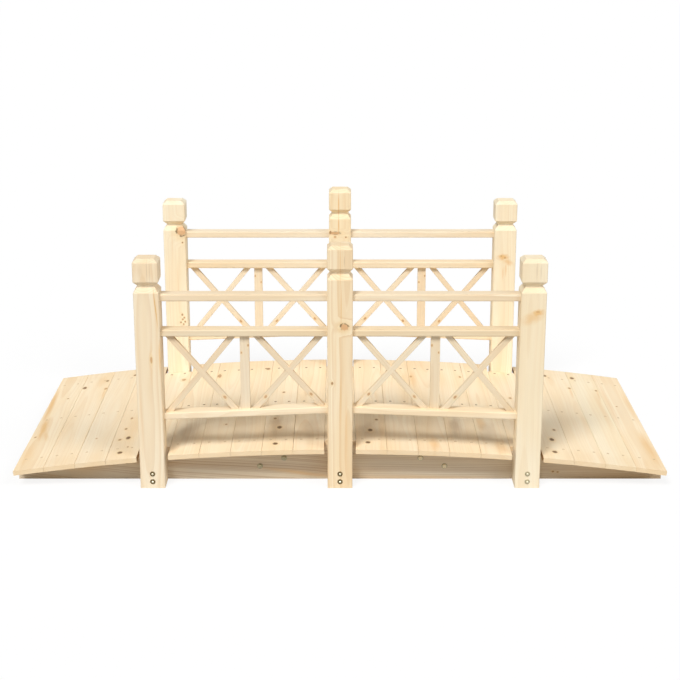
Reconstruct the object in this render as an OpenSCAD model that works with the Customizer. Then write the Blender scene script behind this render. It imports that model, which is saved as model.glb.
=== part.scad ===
// Low arched garden footbridge of softwood, with a latticed railing along each side.
// X runs along the bridge, Y across it and Z up. The origin is on the ground under mid span.

/* [Deck] */
// Length of the bridge over its outermost boards
bridge_length = 1500; // [1200:10:2400]
// Width of the deck, and over the outer faces of the posts
deck_width = 670; // [500:5:1000]
// Number of boards in the deck
board_count = 21; // [17:2:31]
// Thickness of a board
board_thickness = 11; // [8:0.5:25]
// Gap between neighbouring boards
board_gap = 0.4; // [0.3:0.1:6]
// Chamfer along the two upper edges of a board
board_chamfer = 0.7; // [0.2:0.1:3]
// Gap between a board and the crown of the beam under it
board_seat_gap = 0.1; // [0.05:0.05:0.3]
// Gap between the end of a shortened board and the post beside it
post_notch_gap = 1; // [0.3:0.1:5]

/* [Beams] */
// Height of a beam at mid span
crown_height = 83.5; // [60:0.5:150]
// Height of a beam at its ends
beam_end_height = 30; // [15:0.5:45]
// Thickness of a beam
beam_thickness = 28; // [18:1:60]
// Distance of the joint in a beam from the side of the middle post
beam_joint_offset = 1.5; // [0:0.5:40]
// Length of the plate behind the joint in an outer beam
splice_length = 500; // [300:10:700]
// Thickness of that plate
splice_thickness = 18; // [10:1:40]
// Height of the plate's lower edge above the ground
splice_lift = 12; // [2:1:20]
// Distance of the plate's upper edge below the top of the beam
splice_drop = 10; // [4:1:20]

/* [Posts] */
// Side of a post's square section
post_size = 57; // [45:1:80]
// Height of the four end posts
end_post_height = 540; // [480:5:900]
// Height of the two middle posts
middle_post_height = 570; // [480:5:950]
// Number of board pitches from a middle post to an end post
bay_boards = 6; // [4:1:7]
// Radius of a post's upright edges
post_edge_radius = 3; // [0.5:0.5:8]
// Height of the cap, from its lower edge to the top of the post
cap_height = 51; // [30:1:80]
// Width of the bevel round the top of the cap
cap_bevel = 9; // [3:0.5:18]
// Height of that bevel
cap_bevel_height = 8; // [3:0.5:18]
// Depth of the neck under the cap
neck_depth = 9.2; // [3:0.1:15]
// Height of the upright band of the neck
neck_band = 4; // [1:0.5:12]
// Height of the bevel from the neck out to the cap
undercut_height = 9.2; // [3:0.1:20]
// Height of the bevel from the neck out to the shoulder
shoulder_height = 12.3; // [3:0.1:20]

/* [Rails] */
// Height of a rail's section
rail_height = 16; // [12:0.5:30]
// Depth of a rail's section, across the bridge
rail_depth = 34; // [24:1:44]
// Radius of a rail's long edges
rail_edge_radius = 3; // [0.5:0.5:5]
// Distance of the top rail below the shoulder of an end post
top_rail_drop = 5.5; // [1:0.5:40]
// Distance from the top rail down to the middle rail, underside to underside
rail_spacing = 82; // [50:1:120]
// Clear height under the lower rail at the posts, above the deck
lower_rail_clearance = 83; // [40:1:110]

/* [Lattice] */
// Width of the baluster in the middle of a bay
baluster_width = 21; // [12:1:40]
// Width of a crossed brace
brace_width = 12.5; // [8:0.5:25]
// Depth of the baluster and braces, across the bridge
lattice_depth = 14; // [8:1:22]
// Distance from a corner of the lattice to a brace's centre line, along the middle rail
brace_top_inset = 15.5; // [12:0.5:40]
// The same distance along the lower rail
brace_bottom_inset = 13; // [12:0.5:40]

/* [Hidden] */
// Sides of the drawn curves
$fn = 48;
arc_sides = 1440;

// Tones of the wood
deck_tone = [0.94, 0.85, 0.70];
beam_tone = [0.86, 0.75, 0.58];
post_tone = [0.95, 0.88, 0.73];
rail_tone = [0.97, 0.88, 0.75];
lattice_tone = [0.96, 0.87, 0.74];

// The arch: the beams' tops, the boards' undersides and the boards' tops share one centre
arc_rise = crown_height - beam_end_height;
arc_radius = (pow(bridge_length / 2, 2) + pow(arc_rise, 2)) / (2 * arc_rise);
arc_centre_z = crown_height - arc_radius;
seat_radius = arc_radius + board_seat_gap;
deck_radius = seat_radius + board_thickness;

// The boards: equal turns about that centre, with half a gap past each end
half_angle = asin((bridge_length + board_gap) / 2 / deck_radius);
board_angle = 2 * half_angle / board_count;
board_width = 2 * seat_radius * tan(board_angle / 2) - board_gap;
first_board_angle = board_angle / 2 - half_angle;

// The beams end under the deck's ends
beam_half_length = arc_radius * sin(half_angle) - board_gap / 2;
beam_outer_y = deck_width / 2 - post_size;
beam_joint_x = post_size / 2 + beam_joint_offset;

// The posts stand in the middle of a board's place
end_post_x = deck_radius * sin(bay_boards * board_angle);
post_y = (deck_width - post_size) / 2;
bay_start = post_size / 2;
bay_end = end_post_x - post_size / 2;

// The rails hang from the end posts' shoulders, and the lower rail keeps to the deck's chord
end_shoulder_z = end_post_height - cap_height - undercut_height - neck_band - shoulder_height;
top_rail_z = end_shoulder_z - top_rail_drop - rail_height;
middle_rail_z = top_rail_z - rail_spacing;
lower_rail_start_z = deck_top(bay_start) + lower_rail_clearance;
lower_rail_end_z = deck_top(bay_end) + lower_rail_clearance;
lower_rail_slope = (lower_rail_end_z - lower_rail_start_z) / (bay_end - bay_start);
lower_rail_tilt = atan(lower_rail_slope);

// The baluster stands in the middle of the bay
bay_middle = (bay_start + bay_end) / 2;
baluster_start = bay_middle - baluster_width / 2;
baluster_end = bay_middle + baluster_width / 2;

sides = ["front", "back"];
ends = ["left", "right"];
post_places = ["left", "middle", "right"];
rail_places = ["top", "middle", "lower"];
beam_places = ["front", "centre", "back"];

function beam_name(place, end) = str(place, "_beam_", end);
function splice_name(side) = str(side, "_splice_plate");
function board_name(number) = str("deck_board_", number < 10 ? "0" : "", number);
function post_name(side, place) = str(side, "_", place, "_post");
function rails_name(side, place) = str(side, "_", place, "_rails");
function lattice_name(side, end) = str(side, "_", end, "_lattice");

// Front is towards -Y and left is towards -X
function side_sign(side) = side == "front" ? -1 : 1;
function end_sign(end) = end == "left" ? -1 : end == "right" ? 1 : 0;

// Height of the deck's top surface at a distance from mid span
function deck_top(x) = arc_centre_z + sqrt(pow(deck_radius, 2) - pow(x, 2));

// Height of the lower rail's upper face at a distance from mid span, within a bay
function lower_rail_top(x) =
    lower_rail_start_z + lower_rail_slope * (x - bay_start) + rail_height / cos(lower_rail_tilt);

// Turn of a board about the arch's centre, and its distance from mid span
function board_turn(number) = first_board_angle + (number - 1) * board_angle;
function board_x(number) = seat_radius * sin(board_turn(number));

// A board whose place holds a post is cut short to pass between the two posts
function holds_post(number) =
    min([for (x = [-end_post_x, 0, end_post_x]) abs(board_x(number) - x)])
        < (board_width + post_size) / 2 + post_notch_gap;
function board_length(number) =
    holds_post(number) ? 2 * (beam_outer_y - post_notch_gap) : deck_width;

// A rectangle with round corners, centred
module rounded_rectangle(width, height, radius) {
    square([width - 2 * radius, height], center = true);
    square([width, height - 2 * radius], center = true);
    for (x = [-1, 1], y = [-1, 1])
        translate([x * (width / 2 - radius), y * (height / 2 - radius)]) circle(radius);
}

// An outline in the XZ plane, given thickness across the bridge about the plane's Y
module across(thickness, y) {
    translate([0, y, 0]) rotate([90, 0, 0]) linear_extrude(thickness, center = true) children();
}

// The part of the arched outline between two distances from mid span, at a depth below the arch
module arch_outline(x_from, x_to, z_from, drop) {
    intersection() {
        translate([0, arc_centre_z]) circle(arc_radius - drop, $fn = arc_sides);
        translate([x_from, z_from]) square([x_to - x_from, crown_height]);
    }
}

// One half of a beam: flat below, arched above
module beam(place, end) {
    y = place == "centre" ? 0 : side_sign(place) * (beam_outer_y - beam_thickness / 2);
    color(beam_tone) across(beam_thickness, y)
        if (end == "left")
            arch_outline(-beam_half_length, beam_joint_x, 0, 0);
        else
            arch_outline(beam_joint_x, beam_half_length, 0, 0);
}

// The plate on the inner face of an outer beam, over its joint
module splice_plate(side) {
    y = side_sign(side) * (beam_outer_y - beam_thickness - splice_thickness / 2);
    color(beam_tone) across(splice_thickness, y)
        arch_outline(beam_joint_x - splice_length / 2, beam_joint_x + splice_length / 2,
                     splice_lift, splice_drop);
}

// The section of a board, its underside on the origin
module board_section() {
    half = board_width / 2;
    shoulder = board_thickness - board_chamfer;
    polygon([
        [-half, 0], [half, 0], [half, shoulder], [half - board_chamfer, board_thickness],
        [board_chamfer - half, board_thickness], [-half, shoulder]
    ]);
}

module deck_board(number) {
    color(deck_tone)
        translate([0, 0, arc_centre_z]) rotate([0, board_turn(number), 0]) translate([0, 0, seat_radius])
            across(board_length(number), 0) board_section();
}

// The outline of a post, seen square-on: shaft, shoulder, neck and cap
module post_outline(height) {
    shaft = post_size / 2;
    neck = shaft - neck_depth;
    crown = shaft - cap_bevel;
    cap_z = height - cap_height;
    neck_top_z = cap_z - undercut_height;
    neck_z = neck_top_z - neck_band;
    half = [
        [shaft, 0], [shaft, neck_z - shoulder_height], [neck, neck_z], [neck, neck_top_z],
        [shaft, cap_z], [shaft, height - cap_bevel_height], [crown, height]
    ];
    last = len(half) - 1;
    polygon(concat(half, [for (i = [0 : last]) [-half[last - i].x, half[last - i].y]]));
}

// The outline cut on both pairs of faces of a square post
module post(side, place) {
    height = place == "middle" ? middle_post_height : end_post_height;
    color(post_tone) translate([end_sign(place) * end_post_x, side_sign(side) * post_y, 0])
        intersection() {
            linear_extrude(height) rounded_rectangle(post_size, post_size, post_edge_radius);
            across(post_size, 0) post_outline(height);
            rotate([0, 0, 90]) across(post_size, 0) post_outline(height);
        }
}

// A straight rail along X from the origin, its underside on Z = 0
module rail_bar(length) {
    rotate([90, 0, 90]) linear_extrude(length)
        translate([0, rail_height / 2]) rounded_rectangle(rail_depth, rail_height, rail_edge_radius);
}

module level_rail(z) {
    translate([bay_start, 0, z]) rail_bar(bay_end - bay_start);
}

// The lower rail runs on past both ends of the bay, and the posts' faces cut it off plumb
module lower_rail() {
    bay_length = bay_end - bay_start;
    spare = rail_height;
    intersection() {
        translate([bay_start, 0, lower_rail_start_z]) rotate([0, -lower_rail_tilt, 0])
            translate([-spare, 0, 0]) rail_bar(bay_length / cos(lower_rail_tilt) + 2 * spare);
        translate([bay_start, -rail_depth, 0]) cube([bay_length, 2 * rail_depth, middle_rail_z]);
    }
}

module rails(side, place) {
    color(rail_tone) translate([0, side_sign(side) * post_y, 0])
        for (turn = [0, 1]) mirror([turn, 0, 0])
            if (place == "top")
                level_rail(top_rail_z);
            else if (place == "middle")
                level_rail(middle_rail_z);
            else
                lower_rail();
}

// The space between the lower and the middle rail, from one distance along the bay to another
module panel(x_from, x_to) {
    polygon([
        [x_from, lower_rail_top(x_from)], [x_to, lower_rail_top(x_to)],
        [x_to, middle_rail_z], [x_from, middle_rail_z]
    ]);
}

// A brace's edges about the line through two points, run on past both
module brace_line(start, finish) {
    run = finish - start;
    translate(start) rotate(atan2(run.y, run.x))
        translate([-norm(run), -brace_width / 2]) square([3 * norm(run), brace_width]);
}

// Two braces crossed between opposite corners of a panel, flush where they cross
module crossed_braces(x_from, x_to) {
    foot_from = x_from + brace_bottom_inset;
    foot_to = x_to - brace_bottom_inset;
    head_from = x_from + brace_top_inset;
    head_to = x_to - brace_top_inset;
    intersection() {
        panel(x_from, x_to);
        union() {
            brace_line([foot_from, lower_rail_top(foot_from)], [head_to, middle_rail_z]);
            brace_line([foot_to, lower_rail_top(foot_to)], [head_from, middle_rail_z]);
        }
    }
}

module lattice(side, end) {
    color(lattice_tone) mirror([end == "left" ? 1 : 0, 0, 0])
        across(lattice_depth, side_sign(side) * post_y) {
            crossed_braces(bay_start, baluster_start);
            panel(baluster_start, baluster_end);
            crossed_braces(baluster_end, bay_end);
        }
}

for (place = beam_places, end = ends)
    beam(place, end);
for (side = sides)
    splice_plate(side);
for (number = [1 : board_count])
    deck_board(number);
for (side = sides, place = post_places)
    post(side, place);
for (side = sides, place = rail_places)
    rails(side, place);
for (side = sides, end = ends)
    lattice(side, end);
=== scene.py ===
import math
import random

import bmesh
import bpy
from mathutils import Matrix, Vector


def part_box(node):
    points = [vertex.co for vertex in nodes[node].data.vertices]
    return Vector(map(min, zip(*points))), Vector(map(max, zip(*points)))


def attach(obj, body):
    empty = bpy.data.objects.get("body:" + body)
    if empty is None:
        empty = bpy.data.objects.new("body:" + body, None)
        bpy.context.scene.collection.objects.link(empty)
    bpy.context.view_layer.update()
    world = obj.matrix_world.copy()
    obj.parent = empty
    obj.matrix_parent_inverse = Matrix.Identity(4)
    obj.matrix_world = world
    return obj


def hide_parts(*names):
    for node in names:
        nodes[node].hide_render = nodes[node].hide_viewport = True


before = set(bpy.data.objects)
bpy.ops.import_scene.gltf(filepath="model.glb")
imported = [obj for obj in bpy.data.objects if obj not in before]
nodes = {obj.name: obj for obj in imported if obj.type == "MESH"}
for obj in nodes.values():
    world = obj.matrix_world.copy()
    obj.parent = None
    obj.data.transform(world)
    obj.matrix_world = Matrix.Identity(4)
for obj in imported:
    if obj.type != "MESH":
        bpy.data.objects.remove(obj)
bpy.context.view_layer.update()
scene = bpy.context.scene
metre = 1000  # in mm
print("frame:", len(nodes), "solids loaded")


# colours are written 0 to 255 as they look on screen, and go to the nodes as linear values
def tone(red, green, blue):
    def linear(value):
        value = value / 255
        return value / 12.92 if value <= 0.04045 else ((value + 0.055) / 1.055) ** 2.4  # the sRGB curve
    return (linear(red), linear(green), linear(blue), 1.0)


pureWhite = (1, 1, 1, 1)

# camera in front of the bridge, looking down on the deck
cameraPlan = {"lens": 81.2, "sensor": 36, "place": (0.0, -3.604, 1.3644), "pitch": 17.14}

cameraData = bpy.data.cameras.new("camera")
cameraData.lens = cameraPlan["lens"]
cameraData.sensor_width = cameraPlan["sensor"]
camera = bpy.data.objects.new("camera", cameraData)
camera.location = cameraPlan["place"]
camera.rotation_euler = (math.radians(90 - cameraPlan["pitch"]), 0, 0)
scene.collection.objects.link(camera)
scene.camera = camera
scene.view_settings.view_transform = "Standard"


# soft studio light: a main lamp front left, a second one front right, even light all round
# turn, height and spread are in degrees
lightPlan = {
    "main": {"turn": 27, "height": 50, "power": 2.2, "spread": 20},
    "second": {"turn": -50, "height": 40, "power": 1.0, "spread": 26},
    "distance": 4, "around": 0.27,
}


def addLamp(name, plan):
    lamp = bpy.data.lights.new(name, "SUN")
    lamp.energy = plan["power"]
    lamp.angle = math.radians(plan["spread"])
    turn, height = math.radians(plan["turn"]), math.radians(plan["height"])
    level = math.cos(height)
    towards = Vector((math.sin(turn) * level, math.cos(turn) * level, -math.sin(height)))
    holder = bpy.data.objects.new(name, lamp)
    holder.rotation_euler = towards.to_track_quat("-Z", "Y").to_euler()
    holder.location = towards * -lightPlan["distance"]
    scene.collection.objects.link(holder)


addLamp("mainLamp", lightPlan["main"])
addLamp("secondLamp", lightPlan["second"])


# shorthand for placing shader nodes
def place(tree, kind, inputs=None, **settings):
    node = tree.nodes.new(kind)
    for key, value in settings.items():
        setattr(node, key, value)
    for key, value in (inputs or {}).items():
        if isinstance(value, bpy.types.NodeSocket):
            tree.links.new(value, node.inputs[key])
        else:
            node.inputs[key].default_value = value
    return node


def calc(tree, operation, *values):
    return place(tree, "ShaderNodeMath", dict(enumerate(values)), operation=operation).outputs[0]


def vecCalc(tree, operation, *values):
    node = place(tree, "ShaderNodeVectorMath", dict(enumerate(values)), operation=operation)
    return node.outputs["Value" if operation in ("LENGTH", "DOT_PRODUCT") else "Vector"]


def vecScale(tree, vector, factor):
    node = place(tree, "ShaderNodeVectorMath", {0: vector, "Scale": factor}, operation="SCALE")
    return node.outputs["Vector"]


def rise(tree, value, start, stop):
    return place(tree, "ShaderNodeMapRange", {"Value": value, "From Min": start, "From Max": stop},
                 interpolation_type="SMOOTHSTEP").outputs["Result"]


def swing(tree, value, size):
    # noise of 0 to 1 becomes a push either way
    return calc(tree, "MULTIPLY", calc(tree, "SUBTRACT", value, 0.5), size)


def mixTone(tree, factor, first, second, blend="MIX"):
    # inputs 6 and 7 and output 2 are the colour sockets of a Mix node
    return place(tree, "ShaderNodeMix", {0: factor, 6: first, 7: second},
                 data_type="RGBA", blend_type=blend).outputs[2]


def noise(tree, vector, seed, detail=2.0, rough=0.5):
    return place(tree, "ShaderNodeTexNoise", {"Vector": vector, "W": seed, "Scale": 1.0, "Detail": detail,
                                              "Roughness": rough}, noise_dimensions="4D").outputs


def newGroup(name, inputs, outputs):
    tree = bpy.data.node_groups.new(name, "ShaderNodeTree")
    for way, sockets in (("INPUT", inputs), ("OUTPUT", outputs)):
        for label, kind in sockets.items():
            tree.interface.new_socket(label, in_out=way, socket_type="NodeSocket" + kind)
    return tree, tree.nodes.new("NodeGroupInput").outputs, tree.nodes.new("NodeGroupOutput").inputs


def emptyMaterial(name):
    material = bpy.data.materials.new(name)
    material.use_nodes = True
    material.node_tree.nodes.clear()
    return material, material.node_tree


# white floor and surroundings: the camera sees white, the wood gets the light of a pale floor
floorPlan = {"shade": 0.6, "shadowDepth": 0.15, "size": 30, "segments": 4}


def seenDirectly(tree):
    path = tree.nodes.new("ShaderNodeLightPath").outputs
    mirrored = calc(tree, "MAXIMUM", path["Is Glossy Ray"], path["Is Transmission Ray"])
    return calc(tree, "MAXIMUM", path["Is Camera Ray"], mirrored)


world = bpy.data.worlds.new("studio")
scene.world = world
world.use_nodes = True
tree = world.node_tree
tree.nodes.clear()
glow = place(tree, "ShaderNodeBackground", {"Color": pureWhite, "Strength": lightPlan["around"]})
white = place(tree, "ShaderNodeBackground", {"Color": pureWhite, "Strength": 1.0})
both = place(tree, "ShaderNodeMixShader", {0: seenDirectly(tree), 1: glow.outputs[0], 2: white.outputs[0]})
place(tree, "ShaderNodeOutputWorld", {"Surface": both.outputs[0]})

floorMaterial, tree = emptyMaterial("floorWhite")
shade = floorPlan["shade"]
pale = place(tree, "ShaderNodeBsdfDiffuse", {"Color": (shade, shade, shade, 1)})
shadow = place(tree, "ShaderNodeBsdfDiffuse", {"Color": pureWhite})
glow = place(tree, "ShaderNodeEmission", {"Color": pureWhite, "Strength": 1.0})
plain = place(tree, "ShaderNodeMixShader", {
    0: floorPlan["shadowDepth"], 1: glow.outputs[0], 2: shadow.outputs[0]})
both = place(tree, "ShaderNodeMixShader", {0: seenDirectly(tree), 1: pale.outputs[0], 2: plain.outputs[0]})
place(tree, "ShaderNodeOutputMaterial", {"Surface": both.outputs[0]})

bm = bmesh.new()
segments = floorPlan["segments"]
bmesh.ops.create_grid(bm, x_segments=segments, y_segments=segments, size=floorPlan["size"])
floorMesh = bpy.data.meshes.new("floor")
bm.to_mesh(floorMesh)
bm.free()
floorMesh.materials.append(floorMaterial)
floor = bpy.data.objects.new("floor", floorMesh)
scene.collection.objects.link(floor)
print("camera, lamps and floor set")


# spruce in four groups: knots, heartwood streaks, growth rings, and the colours that they get
# in all of them the grain runs along Z of the piece's own coordinates, in metres
spruceTones = {
    "halo": tone(242, 208, 148),
    "core": tone(217, 162, 112),
    "dark": tone(86, 60, 28),
    "heart": tone(234, 190, 128),
    "endGrain": tone(226, 196, 152),
    # brown of the stains, and of painted shade in the slots beside the posts and under the front railing
    "shadeAndStain": tone(164, 128, 88),
}

# inputs of a knot and of a streak
markSockets = {"Vector": "Vector", "Centre": "Vector", "Spread": "Vector"}

# distances from a knot's centre, where 1 is its own size
knotLook = {
    "core": (1.1, 0.7), "rimInside": (0.62, 0.95), "rimOutside": (1.3, 1.0),
    "halo": (2.6, 0.8), "bend": (3.6, 0.5),
    "ragged": {"scale": 190, "seed": 3.1, "push": 0.5},
    "broken": {"scale": 110, "seed": 8.4, "range": (0.38, 0.6)},  # gaps in the rim
}


def makeKnotGroup():
    look, ragged, broken = knotLook, knotLook["ragged"], knotLook["broken"]
    passed = {"Bend": "Float", "Core": "Float", "Dark": "Float", "Halo": "Float"}
    own = dict(markSockets, Swell="Float", Depth="Float", Rim="Float")
    tree, given, out = newGroup("knotMark", dict(own, **passed), passed)
    away = vecCalc(tree, "SUBTRACT", given["Vector"], given["Centre"])
    distance = vecCalc(tree, "LENGTH", vecCalc(tree, "MULTIPLY", away, given["Spread"]))
    outline = noise(tree, vecScale(tree, given["Vector"], ragged["scale"]), ragged["seed"])[0]
    distance = calc(tree, "ADD", distance, swing(tree, outline, ragged["push"]))
    core = rise(tree, distance, *look["core"])
    inside, outside = rise(tree, distance, *look["rimInside"]), rise(tree, distance, *look["rimOutside"])
    rim = calc(tree, "MULTIPLY", inside, outside)
    gaps = noise(tree, vecScale(tree, given["Vector"], broken["scale"]), broken["seed"])[0]
    rim = calc(tree, "MULTIPLY", rim, rise(tree, gaps, *broken["range"]))
    rim = calc(tree, "MULTIPLY", rim, given["Rim"])
    dark = calc(tree, "MAXIMUM", calc(tree, "MULTIPLY", core, given["Depth"]), rim)
    halo = rise(tree, distance, *look["halo"])
    bend = calc(tree, "MULTIPLY", rise(tree, distance, *look["bend"]), given["Swell"])
    tree.links.new(calc(tree, "ADD", bend, given["Bend"]), out["Bend"])
    for label, value in (("Core", core), ("Dark", dark), ("Halo", halo)):
        tree.links.new(calc(tree, "MAXIMUM", value, given[label]), out[label])
    return tree


# distances from a streak's middle, where 1 is its half width or half length
streakLook = {"fade": (1.25, 0.1), "ragged": {"scale": (1.6, 1.6, 2.2), "seed": 6.2, "push": 0.8}}


# one streak's mask: heartwood streaks, and the brown stains and painted shade patches
def makeHeartGroup():
    ragged = streakLook["ragged"]
    own = dict(markSockets, Lean="Float", Strength="Float")
    tree, given, out = newGroup("heartStreak", dict(own, Heart="Float"), {"Heart": "Float"})
    away = vecCalc(tree, "SUBTRACT", given["Vector"], given["Centre"])
    along = place(tree, "ShaderNodeSeparateXYZ", {0: away}).outputs["Z"]
    shift = calc(tree, "MULTIPLY", along, given["Lean"])
    away = vecCalc(tree, "SUBTRACT", away, place(tree, "ShaderNodeCombineXYZ", {"X": shift}).outputs[0])
    away = vecCalc(tree, "MULTIPLY", away, given["Spread"])
    outline = noise(tree, vecCalc(tree, "MULTIPLY", away, ragged["scale"]), ragged["seed"])[0]
    distance = calc(tree, "ADD", vecCalc(tree, "LENGTH", away), swing(tree, outline, ragged["push"]))
    streak = calc(tree, "MULTIPLY", rise(tree, distance, *streakLook["fade"]), given["Strength"])
    tree.links.new(calc(tree, "MAXIMUM", streak, given["Heart"]), out["Heart"])
    return tree


# growth rings round the pith; the seeds are added to the piece's own
# the scales are per metre, and per year for uneven
ringLook = {
    "sway": {"scale": (0.6, 0.6, 2.4), "detail": 1.0, "push": 0.022},  # bends of the whole stem
    "wave": {"scale": (60, 60, 5), "seed": 3.3, "push": 0.0018},  # small waves in a ring
    "uneven": {"scale": 0.45, "detail": 1.0, "push": 1.6},  # wide and narrow years
    "late": (0.35, 0.9), "yearEnd": (1.0, 0.92), "yearSeed": 7.13,
    "fibre": {"scale": (480, 480, 16), "seed": 5.7, "detail": 3.0, "rough": 0.6},
    "broad": {"scale": (24, 24, 2.6), "seed": 9.2},
}


def makeRingGroup():
    sway, wave, uneven, fibre, broad = (ringLook[key] for key in ("sway", "wave", "uneven", "fibre", "broad"))
    tree, given, out = newGroup(
        "spruceRings",
        {"Vector": "Vector", "Pith": "Vector", "Ring Width": "Float", "Seed": "Float", "Bend": "Float"},
        {"Late": "Float", "Ring": "Float", "Fibre": "Float", "Broad": "Float"})
    spot, seed = given["Vector"], given["Seed"]

    def stretched(look):
        return vecCalc(tree, "MULTIPLY", spot, look["scale"])

    def seeded(look):
        return calc(tree, "ADD", seed, look["seed"])

    bends = noise(tree, stretched(sway), seed, sway["detail"])["Color"]
    bends = vecScale(tree, vecCalc(tree, "SUBTRACT", bends, (0.5, 0.5, 0.5)), sway["push"])
    swayed = vecCalc(tree, "SUBTRACT", vecCalc(tree, "ADD", spot, bends), given["Pith"])
    radius = vecCalc(tree, "LENGTH", vecCalc(tree, "MULTIPLY", swayed, (1, 1, 0)))
    waves = noise(tree, stretched(wave), seeded(wave))[0]
    radius = calc(tree, "ADD", radius, swing(tree, waves, wave["push"]))
    radius = calc(tree, "ADD", radius, given["Bend"])
    years = calc(tree, "DIVIDE", radius, given["Ring Width"])
    along = calc(tree, "ADD", calc(tree, "MULTIPLY", years, uneven["scale"]), seed)
    widths = place(tree, "ShaderNodeTexNoise", {"W": along, "Scale": 1.0, "Detail": uneven["detail"]},
                   noise_dimensions="1D").outputs[0]
    years = calc(tree, "ADD", years, calc(tree, "MULTIPLY", widths, uneven["push"]))
    part = calc(tree, "FRACT", years)
    late = calc(tree, "MULTIPLY", rise(tree, part, *ringLook["late"]), rise(tree, part, *ringLook["yearEnd"]))
    year = calc(tree, "ADD", calc(tree, "FLOOR", years), calc(tree, "MULTIPLY", seed, ringLook["yearSeed"]))
    ring = place(tree, "ShaderNodeTexWhiteNoise", {"W": year}, noise_dimensions="1D").outputs["Value"]
    threads = noise(tree, stretched(fibre), seeded(fibre), fibre["detail"], fibre["rough"])[0]
    patches = noise(tree, stretched(broad), seeded(broad))[0]
    for label, value in (("Late", late), ("Ring", ring), ("Fibre", threads), ("Broad", patches)):
        tree.links.new(value, out[label])
    return tree


# how strongly each mark colours the wood
paintLook = {
    "warmPatches": (0.32, 0.7), "darkYears": (0.45, 1.0), "yearShare": 0.5, "lateShare": 0.7,
    "threadLeast": 0.955, "threadRange": 0.09, "haloShare": 0.4, "coreShare": 0.7,
    "roughLeast": 0.5, "roughFibre": 0.22, "smoothCore": 0.12, "heightFibre": 0.7, "heightLate": 0.3,
}


def makePaintGroup():
    look = paintLook
    values = ("Late", "Ring", "Fibre", "Broad", "Core", "Dark", "Halo", "Heart", "End", "ShadeAndStain", "Contrast")
    colours = ("Pale", "Warm", "Streak")
    tree, given, out = newGroup(
        "sprucePaint", dict(dict.fromkeys(values, "Float"), **dict.fromkeys(colours, "Color")),
        {"Color": "Color", "Roughness": "Float", "Height": "Float"})

    def share(label, amount):
        return calc(tree, "MULTIPLY", given[label], look[amount])

    colour = mixTone(tree, rise(tree, given["Broad"], *look["warmPatches"]), given["Pale"], given["Warm"])
    years = calc(tree, "MULTIPLY", rise(tree, given["Ring"], *look["darkYears"]), look["yearShare"])
    lines = calc(tree, "ADD", share("Late", "lateShare"), years)
    colour = mixTone(tree, calc(tree, "MULTIPLY", lines, given["Contrast"]), colour, given["Streak"])
    colour = mixTone(tree, given["Heart"], colour, spruceTones["heart"])
    thread = calc(tree, "ADD", look["threadLeast"], share("Fibre", "threadRange"))
    colour = mixTone(tree, 1.0, colour, thread, "MULTIPLY")
    colour = mixTone(tree, given["End"], colour, spruceTones["endGrain"])
    # brown for stains, and painted shade in the slots beside the posts and under the front railing
    colour = mixTone(tree, given["ShadeAndStain"], colour, spruceTones["shadeAndStain"])
    colour = mixTone(tree, share("Halo", "haloShare"), colour, spruceTones["halo"])
    colour = mixTone(tree, share("Core", "coreShare"), colour, spruceTones["core"])
    colour = mixTone(tree, given["Dark"], colour, spruceTones["dark"])
    rough = calc(tree, "ADD", look["roughLeast"], share("Fibre", "roughFibre"))
    rough = calc(tree, "SUBTRACT", rough, share("Core", "smoothCore"))
    height = calc(tree, "ADD", share("Fibre", "heightFibre"), share("Late", "heightLate"))
    for label, value in (("Color", colour), ("Roughness", rough), ("Height", height)):
        tree.links.new(value, out[label])
    return tree


knotGroup = makeKnotGroup()
heartGroup = makeHeartGroup()
ringGroup = makeRingGroup()
paintGroup = makePaintGroup()


# one spruce material: the piece's own coordinates, its marks, rings, colours and a fine bump
# knots are across, along, size, stretch, depth, rim, in mm
# streaks, and the brown stains and painted shade patches, are across, along, half width, half length,
# strength, lean, in mm
# face and taper hold a knot to the front of a thick piece; without them it goes right through
spruceLook = {
    "endFacing": (0.75, 0.97), "sideFacing": (0.9, 0.98), "swell": 0.0009, "bumpDistance": 0.0006,
    "gloss": 0.1, "palest": 0.98, "seeds": 50,
}


def facing(tree, axis):
    normal = tree.nodes.new("ShaderNodeNewGeometry").outputs["Normal"]
    return calc(tree, "ABSOLUTE", vecCalc(tree, "DOT_PRODUCT", normal, axis))


def fromMiddle(tree, spot):
    return calc(tree, "ABSOLUTE", place(tree, "ShaderNodeSeparateXYZ", {0: spot}).outputs["Z"])


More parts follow.
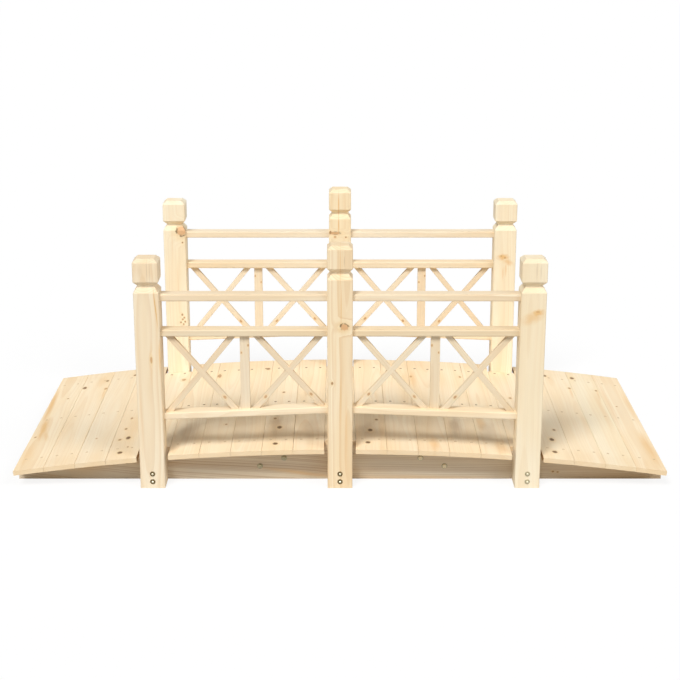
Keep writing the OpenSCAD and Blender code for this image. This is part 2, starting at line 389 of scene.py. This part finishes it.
def spruce(name, wood, seed, pith, marks, centre=None, axes=None, grainLayer=None):
    look = spruceLook
    material, tree = emptyMaterial(name)
    if grainLayer:
        spot = place(tree, "ShaderNodeAttribute", attribute_name=grainLayer).outputs["Vector"]
    else:
        spot = place(tree, "ShaderNodeMapping", {
            "Vector": tree.nodes.new("ShaderNodeTexCoord").outputs["Object"], "Location": centre,
            "Rotation": axes.to_euler()}, vector_type="TEXTURE").outputs["Vector"]
    end = 0.0
    bands = {"streaks": 0.0, "stainsAndShade": 0.0}
    if "end" in wood:
        end = calc(tree, "MULTIPLY", rise(tree, facing(tree, axes.col[2]), *look["endFacing"]), wood["end"])
    if "tips" in wood:
        tips = rise(tree, fromMiddle(tree, spot), *wood["tips"])
        bands["streaks"] = calc(tree, "MULTIPLY", tips, wood["tipShare"])
    # painted shade: the board sides in the slots beside the posts turn brown
    if "shadeAndStain" in wood:
        side = rise(tree, facing(tree, axes.col[0]), *look["sideFacing"])
        bands["stainsAndShade"] = calc(tree, "MULTIPLY", side, rise(tree, fromMiddle(tree, spot), *wood["shadeAndStain"]))
    knotted = {"Bend": 0.0, "Core": 0.0, "Dark": 0.0, "Halo": 0.0}
    for across, along, size, stretch, depth, rim in marks.get("knots", ()):
        flat = metre / size
        knot = place(tree, "ShaderNodeGroup", dict(
            knotted, Vector=spot, Centre=(across / metre, wood.get("face", 0), along / metre),
            Spread=(flat, flat * wood.get("taper", 0), flat / stretch),
            Swell=size * look["swell"], Depth=depth, Rim=rim), node_tree=knotGroup)
        knotted = {label: knot.outputs[label] for label in knotted}
    for kind in bands:
        for across, along, width, length, strength, lean in marks.get(kind, ()):
            bands[kind] = place(tree, "ShaderNodeGroup", {
                "Vector": spot, "Centre": (across / metre, 0, along / metre),
                "Spread": (metre / width, 0, metre / length), "Lean": lean, "Strength": strength,
                "Heart": bands[kind]}, node_tree=heartGroup).outputs["Heart"]
    rings = place(tree, "ShaderNodeGroup", {
        "Vector": spot, "Pith": pith, "Ring Width": wood["ring"], "Seed": seed, "Bend": knotted["Bend"]},
        node_tree=ringGroup).outputs
    paint = place(tree, "ShaderNodeGroup", {
        "Late": rings["Late"], "Ring": rings["Ring"], "Fibre": rings["Fibre"], "Broad": rings["Broad"],
        "Core": knotted["Core"], "Dark": knotted["Dark"], "Halo": knotted["Halo"],
        "Heart": bands["streaks"], "ShadeAndStain": bands["stainsAndShade"], "End": end,
        "Pale": wood["pale"], "Warm": wood["warm"], "Streak": wood["streak"], "Contrast": wood["contrast"]},
        node_tree=paintGroup).outputs
    bump = place(tree, "ShaderNodeBump", {
        "Strength": wood["bump"], "Distance": look["bumpDistance"], "Height": paint["Height"]})
    shader = place(tree, "ShaderNodeBsdfPrincipled", {
        "Base Color": paint["Color"], "Roughness": paint["Roughness"], "Normal": bump.outputs[0],
        "Specular IOR Level": look["gloss"]})
    place(tree, "ShaderNodeOutputMaterial", {"Surface": shader.outputs[0]})
    return material


def shades(plan, name, rng):
    # each piece of timber is a little lighter, darker or warmer than the next
    lift = rng.uniform(-plan["drift"], plan["drift"])
    warmth = rng.uniform(-plan["drift"], plan["drift"])
    drift = (1 + lift, 1 + lift - warmth / 2, 1 + lift - warmth)
    tint = plan.get("tints", {}).get(name, (1, 1, 1))
    wood = dict(plan, contrast=plan.get("contrasts", {}).get(name, plan["contrast"]))
    for key in ("pale", "warm", "streak"):
        shade = [min(value * a * b, spruceLook["palest"]) for value, a, b in zip(plan[key], drift, tint)]
        wood[key] = (*shade, 1.0)
    return wood


def drawPith(plan, rng):
    # the heart of the log, from the middle of the piece: across it, and through it
    across = rng.uniform(*plan["pithAcross"])
    way = rng.choice((-1, 1)) if plan.get("pithEitherWay") else 1
    return (across, way * rng.uniform(*plan["pithThrough"]), 0)


def drawSeed(rng):
    return rng.uniform(0, spruceLook["seeds"])


def marksOf(plan, key):
    return {kind: plan.get(kind, {}).get(key, ()) for kind in ("knots", "streaks", "stainsAndShade")}


def axesOf(across, through, along):
    return Matrix((across, through, along)).transposed()


def dress(nodeName, material):
    mesh = nodes[nodeName].data
    mesh.materials.clear()
    mesh.materials.append(material)


# the arch that the boards lie on, as in the solids, with the angle of one board in degrees
arch = {"topRadius": 5.29486, "centreZ": -5.20026, "boardAngle": 0.775746, "boards": 21, "middleBoard": 11}


def boardFrame(number):
    angle = (number - arch["middleBoard"]) * math.radians(arch["boardAngle"])
    turn = Matrix.Rotation(angle, 4, "Y")
    return Matrix.Translation((0, 0, arch["centreZ"])) @ turn @ Matrix.Translation((0, 0, arch["topRadius"]))


# deck boards, grain across the bridge, positions from the middle of each board
boardPlan = {
    "seed": 41, "ring": 0.0034, "contrast": 0.26, "bump": 0.14, "drift": 0.018, "end": 0.4,
    "tips": (0.255, 0.3), "tipShare": 0.09,  # a little warmer outside the railings
    "notched": (4, 5, 6, 10, 11, 12, 16, 17, 18), "notch": (0.255, 0.275),  # painted shade on the board sides in the slots beside the posts
    "pithAcross": (-0.03, 0.03), "pithThrough": (0.02, 0.07), "pithEitherWay": True,
    "pale": tone(251, 234, 204), "warm": tone(248, 225, 188), "streak": tone(229, 192, 143),
    "tints": {
        "deck_board_18": (1.01, 1.02, 1.03), "deck_board_19": (1.02, 1.04, 1.07),
        "deck_board_20": (1.01, 1.03, 1.04),
    },
    # plainer on the ramps
    "contrasts": {f"deck_board_{number:02d}": 0.17 for number in (2, 3, 4, 18, 19, 20)},
    "knots": {
        1: [(-24, -120, 3, 1.5, 0.2, 0.2), (10, 150, 3, 1.3, 0.3, 0.2)],
        2: [(-29, 222, 5, 1.6, 0.7, 0.6), (26, 261, 4, 1.5, 0.55, 0.4), (31, 196, 4, 1.8, 0.2, 0.3)],
        3: [(25, 286, 4, 1.5, 0.65, 0.4), (-8, -180, 2.5, 1.2, 0.2, 0.2)],
        4: [(-8, -291, 5.5, 1.3, 0.85, 0.6), (-1, -197, 5.5, 1.6, 0.85, 0.6), (-20, -205, 4, 1.4, 0.4, 0.3),
            (-15, -133, 3.5, 1.6, 0.5, 0.3), (-10, -60, 3, 2.2, 0.3, 0.3), (6, -258, 2.5, 1.4, 0.4, 0.2)],
        5: [(20, 210, 5, 1.6, 0.2, 0.4)],
        7: [(-30, 222, 4.5, 2.8, 0.25, 0.5), (14, -150, 3, 1.3, 0.25, 0.2)],
        8: [(25, 264, 5, 1.6, 0.5, 0.5), (-28, 258, 4, 1.3, 0.4, 0.3)],
        9: [(-6, -291, 5.5, 1.3, 0.85, 0.6), (0, -184, 5.5, 1.7, 0.85, 0.6), (-13, -122, 3.5, 1.6, 0.5, 0.3),
            (1, 70, 3.5, 1.6, 0.45, 0.3)],
        12: [(-7, -287, 5.5, 1.3, 0.85, 0.6), (0, -206, 5.5, 1.7, 0.85, 0.6), (16, -134, 3.5, 1.6, 0.5, 0.3)],
        14: [(-30, 200, 3, 2.4, 0.15, 0.3)],
        15: [(28, 214, 3, 2.2, 0.3, 0.3)],
        17: [(2, 70, 4, 1.4, 0.35, 0.3)],
        18: [(-4, -289, 5.5, 1.3, 0.85, 0.6), (0, -208, 5.5, 1.7, 0.85, 0.6), (14, -140, 3.5, 1.6, 0.5, 0.3)],
        19: [(-27, 280, 5, 1.5, 0.7, 0.5), (28, 195, 3.5, 1.6, 0.35, 0.3)],
        20: [(-24, 284, 5.5, 1.5, 0.7, 0.5), (28, 200, 3.5, 1.6, 0.35, 0.3)],
        21: [(-8, 90, 3, 1.3, 0.2, 0.2)],
    },
    "streaks": {
        1: [(-27, 110, 9, 150, 0.8, -0.03), (-15, -62, 11, 95, 0.8, -0.06), (1, -118, 8, 45, 0.45, -0.25),
            (-20, -235, 20, 95, 0.35, 0)],
        2: [(31, 150, 4, 50, 0.5, -0.04), (12, 265, 14, 55, 0.3, 0)],
        4: [(4, -120, 16, 120, 0.25, 0)],
        13: [(28, 180, 10, 80, 0.25, 0)],
        14: [(2, -290, 14, 55, 0.6, 0), (-26, 180, 10, 70, 0.4, 0)],
        15: [(-20, 205, 9, 90, 0.2, 0)],
        16: [(-18, -132, 12, 50, 0.5, 0), (14, -285, 16, 60, 0.4, 0)],
        19: [(28, 160, 4, 50, 0.45, 0.03), (-16, 250, 12, 60, 0.25, 0)],
        20: [(28, 160, 4, 55, 0.45, 0.05), (20, 60, 10, 160, 0.25, 0)],
        21: [(20, -200, 14, 130, 0.6, -0.03), (-26, 110, 8, 170, 0.3, 0), (27, 100, 8, 120, 0.35, 0)],
    },
    # brown patches on the near deck, in the shadow under the front railing: painted shade, partly stain
    "stainsAndShade": {
        6: [(0, -198, 30, 75, 0.32, 0)],
        9: [(-8, -165, 20, 80, 0.4, 0), (2, -185, 32, 65, 0.22, 0)],
        10: [(4, -195, 28, 75, 0.28, 0)],
        12: [(0, -208, 30, 60, 0.26, 0)],
        15: [(-12, -165, 18, 75, 0.4, 0.05)],
        16: [(-5, -180, 24, 70, 0.25, 0)],
    },
}
rng = random.Random(boardPlan["seed"])
for number in range(1, arch["boards"] + 1):
    name = f"deck_board_{number:02d}"
    home = boardFrame(number)
    tilt = home.to_3x3()
    axes = axesOf(tilt @ Vector((1, 0, 0)), tilt @ Vector((0, 0, -1)), Vector((0, 1, 0)))
    pith = drawPith(boardPlan, rng)
    wood = shades(boardPlan, name, rng)
    # painted shade on the sides of the boards notched round the posts
    if number in boardPlan["notched"]:
        wood["shadeAndStain"] = boardPlan["notch"]
    dress(name, spruce(name, wood, drawSeed(rng), pith, marksOf(boardPlan, number), home.translation, axes))
print("deck boards dressed")


# beams and the plates behind their joints, grain along the bridge, positions up and along from the origin
beamPlan = {
    "seed": 7, "ring": 0.0044, "contrast": 0.6, "bump": 0.2, "drift": 0.015, "end": 0.4,
    "pithAcross": (-0.05, -0.02), "pithThrough": (-0.025, 0.025),
    "pale": tone(247, 230, 200), "warm": tone(240, 219, 184), "streak": tone(196, 158, 114),
    "tints": {"front_beam_left": (0.93, 0.93, 0.97), "front_beam_right": (0.91, 0.92, 0.97)},
    "contrasts": {"front_beam_right": 0.4},
    "slopes": {"front_beam_left": 4, "front_beam_right": 0.5}, "anySlope": 3,  # of the grain, in degrees
    "knots": {"front_beam_right": [(22, 496, 2.4, 1.4, 0.35, 0.25), (21, 507, 2.0, 1.4, 0.3, 0.2)]},
    "streaks": {
        "front_beam_left": [(9, -100, 6, 90, 0.5, -0.07), (20, -640, 60, 170, 0.6, 0)],
        "front_beam_right": [(5, 200, 6, 200, 0.35, 0), (20, 640, 60, 170, 0.35, 0)],
    },
}
lengthways = axesOf(Vector((0, 0, 1)), Vector((0, -1, 0)), Vector((1, 0, 0)))
rng = random.Random(beamPlan["seed"])
for name in sorted(nodes):
    if "_beam_" in name or "_splice_" in name:
        low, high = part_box(name)
        pith = drawPith(beamPlan, rng)
        anySlope = rng.uniform(-beamPlan["anySlope"], beamPlan["anySlope"])
        slope = beamPlan["slopes"].get(name, anySlope)
        axes = Matrix.Rotation(math.radians(slope), 3, "Y") @ lengthways
        wood = shades(beamPlan, name, rng)
        centre = Vector((0, (low.y + high.y) / 2, 0))
        dress(name, spruce(name, wood, drawSeed(rng), pith, marksOf(beamPlan, name), centre, axes))
print("beams dressed")


# posts, grain upright, positions across from the middle and up from the foot
postPlan = {
    "seed": 23, "ring": 0.0042, "contrast": 0.3, "bump": 0.14, "drift": 0.0, "face": -0.0285, "taper": 0.7,
    "pithAcross": (-0.03, 0.03), "pithThrough": (0.01, 0.04),
    "pale": tone(250, 234, 205), "warm": tone(246, 224, 188), "streak": tone(226, 190, 143),
    "tints": {
        "front_left_post": (0.98, 0.99, 1.01), "front_middle_post": (1.0, 0.99, 0.96),
        "front_right_post": (1.0, 1.03, 1.05), "back_left_post": (1.03, 1.08, 1.13),
        "back_middle_post": (1.02, 1.03, 1.0), "back_right_post": (1.03, 1.08, 1.13),
    },
    "contrasts": {
        "front_left_post": 0.42, "front_middle_post": 0.5, "front_right_post": 0.14, "back_left_post": 0.2,
    },
    "knots": {
        "front_left_post": [(7, 309, 2.5, 3.0, 0.1, 0.2)],
        "front_middle_post": [(9.8, 386, 9.5, 0.85, 0.0, 0.85), (-17.5, 254, 3, 1.2, 0.4, 0.3)],
        "front_right_post": [(9, 421, 4, 0.5, 0.0, 0.25)],
        "back_left_post": [
            (18.5, 463, 13, 1.05, 0.0, 0.8), (20.5, 432, 2.5, 0.9, 0.4, 0.3), (14, 237, 2.4, 1.2, 0.3, 0.3),
            (19, 229, 2.2, 1.1, 0.3, 0.3), (15, 224, 2.6, 1.0, 0.2, 0.3), (21, 218, 2.2, 1.2, 0.3, 0.3),
            (10, 216, 2.2, 1.2, 0.25, 0.3), (17, 211, 2.0, 1.2, 0.2, 0.3)],
        "back_middle_post": [
            (-14, 457, 15, 0.28, 0.1, 0.45), (-25, 459, 3, 1.4, 0.5, 0.3), (-13, 447, 3.5, 0.8, 0.05, 0.3),
            (15, 446, 2.5, 0.9, 0.25, 0.3)],
        "back_right_post": [(-9, 396, 2.5, 0.7, 0.1, 0.3), (0, 391, 2.5, 0.7, 0.1, 0.3)],
    },
    "streaks": {
        "front_left_post": [
            (20.5, 428, 2, 55, 0.95, -0.095), (23, 430, 5, 80, 0.25, 0), (7, 300, 4, 60, 0.3, 0),
            (-20, 160, 5, 120, 0.2, 0), (0, 515, 34, 40, 0.25, 0), (26, 318, 3, 45, 0.6, 0)],
        "front_middle_post": [
            (1.2, 525, 2.2, 60, 0.55, 0), (6, 535, 1.5, 45, 0.3, 0), (2.5, 430, 1.6, 60, 0.7, 0),
            (2, 220, 2.2, 80, 0.5, 0), (-10, 300, 3, 90, 0.25, 0), (14, 140, 4, 110, 0.3, 0)],
        "front_right_post": [(-1, 408, 24, 19, 0.6, 0.7), (9, 418, 16, 11, 0.95, 0.4)],
        "back_middle_post": [(-3.5, 530, 2.2, 40, 0.9, 0), (-3.5, 478, 2.2, 30, 0.9, 0)],
        "back_right_post": [
            (-5, 393, 17, 10, 0.95, 0), (8, 380, 13, 11, 0.65, -0.6), (3, 360, 3, 22, 0.5, 0),
            (-4, 350, 2.5, 20, 0.45, 0)],
        "back_left_post": [(-6, 420, 2.5, 60, 0.2, 0), (5, 330, 2.5, 60, 0.2, 0)],
    },
    "stainsAndShade": {
        "front_left_post": [
            (4, 512, 1.3, 34, 0.26, 0), (10, 512, 1.3, 34, 0.24, 0), (-11, 513, 6, 17, 0.12, 0),
            (20.5, 428, 1.6, 50, 0.16, -0.095)],
        "front_middle_post": [(9.5, 537, 1.3, 14, 0.3, 0)],
        "front_right_post": [(4, 514, 2.2, 24, 0.2, 0), (13, 512, 2.6, 22, 0.18, 0)],
    },
}
upright = axesOf(Vector((1, 0, 0)), Vector((0, 1, 0)), Vector((0, 0, 1)))
rng = random.Random(postPlan["seed"])
for name in sorted(nodes):
    if name.endswith("_post"):
        low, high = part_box(name)
        foot = Vector(((low.x + high.x) / 2, (low.y + high.y) / 2, 0))
        pith = drawPith(postPlan, rng)
        wood = shades(postPlan, name, rng)
        dress(name, spruce(name, wood, drawSeed(rng), pith, marksOf(postPlan, name), foot, upright))
print("posts dressed")


# rails, grain along the bridge, without marks of their own
railPlan = {
    "seed": 5, "ring": 0.0032, "contrast": 0.34, "bump": 0.13, "drift": 0.006,
    "pithAcross": (-0.03, 0.03), "pithThrough": (0.02, 0.04), "pithEitherWay": True,
    "pale": tone(250, 233, 203), "warm": tone(246, 223, 186), "streak": tone(229, 192, 144),
    "tints": {
        "front_top_rails": (0.96, 0.98, 1.02), "front_middle_rails": (0.91, 0.92, 0.92),
        "back_top_rails": (0.97, 1.0, 1.06), "back_middle_rails": (0.95, 0.96, 0.97),
    },
}
rng = random.Random(railPlan["seed"])
for name in sorted(nodes):
    if name.endswith("_rails"):
        low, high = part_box(name)
        pith = drawPith(railPlan, rng)
        wood = shades(railPlan, name, rng)
        dress(name, spruce(name, wood, drawSeed(rng), pith, {}, (low + high) / 2, lengthways))
print("rails dressed")


# lattice: two crosses and a baluster in each bay, every bar with its own grain and eased edges
latticePlan = {
    "seed": 13, "ring": 0.0032, "contrast": 0.2, "bump": 0.13, "drift": 0.008, "pith": (0.012, 0.03, 0),
    "pale": tone(242, 227, 201), "warm": tone(238, 217, 185), "streak": tone(221, 187, 143),
    "tints": {"front_left_lattice_bars": (0.97, 0.95, 0.92), "front_right_lattice_bars": (0.98, 0.97, 0.94)},
    "balusterWidth": 0.021, "braceWidth": 0.0125, "depth": 0.014, "topInset": 0.0155, "bottomInset": 0.013,
    "footZ": (0.193536, 0.178395),  # top of the lower rail at the middle post and at the end post
    "overlength": 1.6, "ease": 0.0011, "easeSegments": 2,
    "proud": 0.0003,  # each brace of a cross stands out by this on one side
    "grainStray": 0.01, "grainSlide": 0.5,
    # knots as the distance up the bar, across it, and size, for the baluster and the braces in turn
    "barKnots": [
        [(0.151, 0.0082, 2.0), (0.134, -0.0072, 1.8)],
        [(0.037, 0.0008, 2.9)], [(0.036, -0.001, 2.7)], [(0.037, 0.001, 2.9)], []],
    "knotStretch": 1.5, "knotDepth": (0.1, 0.25), "knotRim": 0.2,
}
bayStart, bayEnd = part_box("front_middle_post")[1].x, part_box("front_right_post")[0].x
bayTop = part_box("front_middle_rails")[0].z
cutDistance = 1e-7


def footHeight(x):
    # upper face of the lower rail, which falls towards the end posts
    first, last = latticePlan["footZ"]
    return first + (last - first) * (x - bayStart) / (bayEnd - bayStart)


def addBar(bm, layer, bar, shift):
    start, finish, width, near, far = bar
    known = set(bm.verts)

    def own(parts):
        return [part for part in parts if part.verts[0] not in known]

    def ownVerts():
        return [v for v in bm.verts if v not in known]

    run = finish - start
    length = run.length * latticePlan["overlength"]
    bmesh.ops.create_cube(bm, size=1)
    bmesh.ops.scale(bm, verts=ownVerts(), vec=(length, far - near, width))
    longEdges = [e for e in own(bm.edges) if abs(e.verts[0].co.x - e.verts[1].co.x) > length / 2]
    bmesh.ops.bevel(bm, geom=longEdges, offset=latticePlan["ease"], offset_type="OFFSET", affect="EDGES",
                    segments=latticePlan["easeSegments"], profile=0.5, material=-1)
    turn = Matrix.Rotation(-math.atan2(run.z, run.x), 4, "Y")
    home = Matrix.Translation((start + finish) / 2 + Vector((0, (near + far) / 2, 0))) @ turn
    bmesh.ops.transform(bm, matrix=home, verts=ownVerts())
    # cut to the middle rail above and to the falling lower rail below
    slope = Vector((bayEnd - bayStart, 0, footHeight(bayEnd) - footHeight(bayStart))).normalized()
    cuts = [((0, 0, bayTop), (0, 0, 1)), ((bayStart, 0, footHeight(bayStart)), (slope.z, 0, -slope.x))]
    for spot, normal in cuts:
        geom = ownVerts() + own(bm.edges) + own(bm.faces)
        cut = bmesh.ops.bisect_plane(bm, geom=geom, dist=cutDistance, plane_co=spot, plane_no=normal,
                                     clear_outer=True)
        cutEdges = [e for e in cut["geom_cut"] if isinstance(e, bmesh.types.BMEdge)]
        bmesh.ops.holes_fill(bm, edges=cutEdges, sides=0)
    back = home.inverted()
    for v in ownVerts():
        spot = back @ v.co
        v[layer] = Vector((spot.z, spot.y, spot.x)) + shift  # grain along the bar


def makeLattice(side, end, rng):
    plan = latticePlan
    bm = bmesh.new()
    layer = bm.verts.layers.float_vector.new("grain")
    half, edge, middle = plan["depth"] / 2, plan["balusterWidth"] / 2, (bayStart + bayEnd) / 2
    foot, head = Vector((middle, 0, footHeight(middle))), Vector((middle, 0, bayTop))
    bars = [(foot, head, plan["balusterWidth"], -half, half)]
    footInset, headInset = plan["bottomInset"], plan["topInset"]
    for left, right in ((bayStart, middle - edge), (middle + edge, bayEnd)):
        feet = [Vector((x, 0, footHeight(x))) for x in (left + footInset, right - footInset)]
        heads = [Vector((x, 0, bayTop)) for x in (left + headInset, right - headInset)]
        bars.append((feet[0], heads[1], plan["braceWidth"], -half, half - plan["proud"]))
        bars.append((feet[1], heads[0], plan["braceWidth"], plan["proud"] - half, half))
    knots = []
    turn = 1 if side == "front" else -1
    stray = plan["grainStray"]
    for count, (bar, spots) in enumerate(zip(bars, plan["barKnots"])):
        # each bar has its own stretch of grain, a metre from the next
        aside = [rng.uniform(-stray, stray) for axis in "xy"]
        shift = Vector((*aside, count + rng.uniform(0, plan["grainSlide"])))
        addBar(bm, layer, bar, shift)
        lowEnd = shift.z - (bar[1] - bar[0]).length / 2
        for up, across, size in spots:
            spot = ((shift.x + across * turn) * metre, (lowEnd + up) * metre)
            knots.append((*spot, size, plan["knotStretch"], rng.uniform(*plan["knotDepth"]), plan["knotRim"]))
    if end == "left":
        bmesh.ops.scale(bm, verts=bm.verts, vec=(-1, 1, 1))
        bmesh.ops.recalc_face_normals(bm, faces=bm.faces)
    low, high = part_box(f"{side}_{end}_lattice")
    bmesh.ops.translate(bm, verts=bm.verts, vec=(0, (low.y + high.y) / 2, 0))
    name = f"{side}_{end}_lattice_bars"
    mesh = bpy.data.meshes.new(name)
    bm.to_mesh(mesh)
    bm.free()
    wood = shades(plan, name, rng)
    material = spruce(name, wood, drawSeed(rng), plan["pith"], {"knots": knots}, grainLayer="grain")
    mesh.materials.append(material)
    piece = bpy.data.objects.new(name, mesh)
    scene.collection.objects.link(piece)
    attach(piece, "root")
    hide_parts(f"{side}_{end}_lattice")


rng = random.Random(latticePlan["seed"])
for side in ("front", "back"):
    for end in ("left", "right"):
        makeLattice(side, end, rng)
print("lattice bars made")


# fasteners: the bright and the dull tone, roughness and metallic of each finish
metalPlan = {
    "zincBright": (tone(236, 230, 206), tone(212, 204, 174), 0.32, 0.85),
    # dark zinc for the post washers: painted shade round the bolt heads
    "zincShadeDark": (tone(118, 100, 62), tone(90, 74, 42), 0.5, 0.6),
    "zincYellow": (tone(244, 228, 192), tone(222, 204, 164), 0.45, 0.3),
    "zincPale": (tone(186, 176, 144), tone(160, 148, 116), 0.45, 0.6),
    "screwBrown": (tone(142, 108, 62), tone(104, 76, 40), 0.7, 0.0),
    "screwPale": (tone(222, 192, 146), tone(196, 164, 118), 0.6, 0.0),
}
metalCloud = {
    "scale": 420, "seed": 2.0, "detail": 3.0, "dulled": (0.35, 0.7), "smoother": 0.08, "rougher": 0.2,
}


def metal(name, bright, dull, rough, metallic):
    material, tree = emptyMaterial(name)
    spot = tree.nodes.new("ShaderNodeTexCoord").outputs["Object"]
    look = metalCloud
    cloud = noise(tree, vecScale(tree, spot, look["scale"]), look["seed"], look["detail"])[0]
    colour = mixTone(tree, rise(tree, cloud, *look["dulled"]), bright, dull)
    uneven = calc(tree, "MULTIPLY", cloud, look["rougher"])
    grain = calc(tree, "ADD", rough - look["smoother"], uneven)
    shader = place(tree, "ShaderNodeBsdfPrincipled", {
        "Base Color": colour, "Roughness": grain, "Metallic": metallic})
    place(tree, "ShaderNodeOutputMaterial", {"Surface": shader.outputs[0]})
    return material


metals = {name: metal(name, *look) for name, look in metalPlan.items()}
turnedPlan = {"mergeDistance": 1e-6, "sharpAngle": 35}


# a turned shape from half of its section, as radius and height in mm
def turned(section, steps):
    bm = bmesh.new()
    verts = [bm.verts.new((radius / metre, 0, height / metre)) for radius, height in section]
    edges = [bm.edges.new(pair) for pair in zip(verts, verts[1:])]
    bmesh.ops.spin(bm, geom=verts + edges, cent=(0, 0, 0), axis=(0, 0, 1), angle=math.tau, steps=steps,
                   use_merge=True)
    bmesh.ops.remove_doubles(bm, verts=bm.verts, dist=turnedPlan["mergeDistance"])
    bmesh.ops.recalc_face_normals(bm, faces=bm.faces)
    return bm


def copies(name, shape, homes, material):
    master = bpy.data.meshes.new(name + "_master")
    shape.to_mesh(master)
    shape.free()
    bm = bmesh.new()
    for home in homes:
        start = len(bm.verts)
        bm.from_mesh(master)
        bm.verts.ensure_lookup_table()
        bmesh.ops.transform(bm, matrix=home, verts=bm.verts[start:])
    for face in bm.faces:
        face.smooth = True
    sharp = math.radians(turnedPlan["sharpAngle"])
    for edge in bm.edges:
        edge.smooth = edge.calc_face_angle(0) < sharp
    mesh = bpy.data.meshes.new(name)
    bm.to_mesh(mesh)
    bm.free()
    bpy.data.meshes.remove(master)
    mesh.materials.append(material)
    piece = bpy.data.objects.new(name, mesh)
    scene.collection.objects.link(piece)
    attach(piece, "root")


def onFace(x, y, z):
    # a bolt's foot on an upright face, its head pointing away from the bridge
    return Matrix.Translation((x, y, z)) @ Matrix.Rotation(math.radians(90 if y < 0 else -90), 4, "X")


# bolts through the posts: a dark washer, painted shade for the shaded ring round the head, and a bright domed
# head
postBolt = {
    "washer": [(0, 0), (5.8, 0), (6.0, 0.3), (6.0, 0.7), (5.6, 1.1), (3.4, 1.3), (0, 1.3)],
    "head": [(0, 1.2), (2.7, 1.2), (2.7, 1.7), (2.3, 2.5), (1.5, 3.1), (0.7, 3.35), (0, 3.4)],
    "washerSteps": 28, "headSteps": 24,
    "heights": (0.035, 0.016), "paler": ("front_right_post", "back_left_post"),
}
homes, paler = [], []
for name in sorted(nodes):
    if name.endswith("_post"):
        low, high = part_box(name)
        for z in postBolt["heights"]:
            home = onFace((low.x + high.x) / 2, low.y if low.y < 0 else high.y, z)
            (paler if name in postBolt["paler"] else homes).append(home)
copies("post_washers", turned(postBolt["washer"], postBolt["washerSteps"]), homes, metals["zincShadeDark"])
copies("post_washers_pale", turned(postBolt["washer"], postBolt["washerSteps"]), paler, metals["zincPale"])
copies("post_bolts", turned(postBolt["head"], postBolt["headSteps"]), homes + paler, metals["zincBright"])


# bolts into the plates behind the beams' joints: a washer and a round head with a socket, paler on the right
beamBolt = {
    "washer": [(0, 0), (6.6, 0), (6.8, 0.4), (6.6, 0.8), (0, 0.8)],
    "head": [(0, 0.7), (4.5, 0.7), (4.7, 1.0), (4.7, 4.2), (4.3, 4.8), (2.2, 5.0), (2.1, 3.2), (0, 3.0)],
    "washerSteps": 28, "headSteps": 24,
    "face": 0.278, "spots": ((-0.186, 0.032), (-0.130, 0.052), (0.187, 0.052), (0.243, 0.032)),
}
homes, paler = [], []
for sign in (-1, 1):
    for x, z in beamBolt["spots"]:
        (homes if x < 0 else paler).append(onFace(x, sign * beamBolt["face"], z))
copies("beam_washers", turned(beamBolt["washer"], beamBolt["washerSteps"]), homes + paler, metals["zincPale"])
copies("beam_bolts", turned(beamBolt["head"], beamBolt["headSteps"]), homes, metals["zincPale"])
copies("beam_bolts_pale", turned(beamBolt["head"], beamBolt["headSteps"]), paler, metals["zincYellow"])
print("bolts set")


# deck screws: two through each board into every beam, with a round recess
# duller heads between the railings, brighter ones on the ends and along the front
screwPlan = {
    "seed": 29, "across": 0.0179, "stray": 0.0016,
    "section": [
        (0, -0.5), (2.6, -0.5), (3.2, -0.1), (3.2, 0.1), (2.9, 0.18), (1.3, 0.16), (1.0, -0.3), (0, -0.35)],
    "steps": 10,
    "rows": (-0.266, 0.0, 0.266), "shortRows": (-0.262, 0.0, 0.262), "short": (5, 11, 17),
    "dull": range(5, 18), "dullBehind": -0.1,
}
rng = random.Random(screwPlan["seed"])
homes, paler = [], []
for number in range(1, arch["boards"] + 1):
    for y in screwPlan["shortRows" if number in screwPlan["short"] else "rows"]:
        dull = y > screwPlan["dullBehind"] and number in screwPlan["dull"]
        for x in (-screwPlan["across"], screwPlan["across"]):
            stray = [rng.uniform(-screwPlan["stray"], screwPlan["stray"]) for axis in "xy"]
            home = boardFrame(number) @ Matrix.Translation((x + stray[0], y + stray[1], 0))
            (homes if dull else paler).append(home)
copies("deck_screws", turned(screwPlan["section"], screwPlan["steps"]), homes, metals["screwBrown"])
copies("deck_screws_pale", turned(screwPlan["section"], screwPlan["steps"]), paler, metals["screwPale"])
print("deck screws set:", len(homes), "dull,", len(paler), "pale")
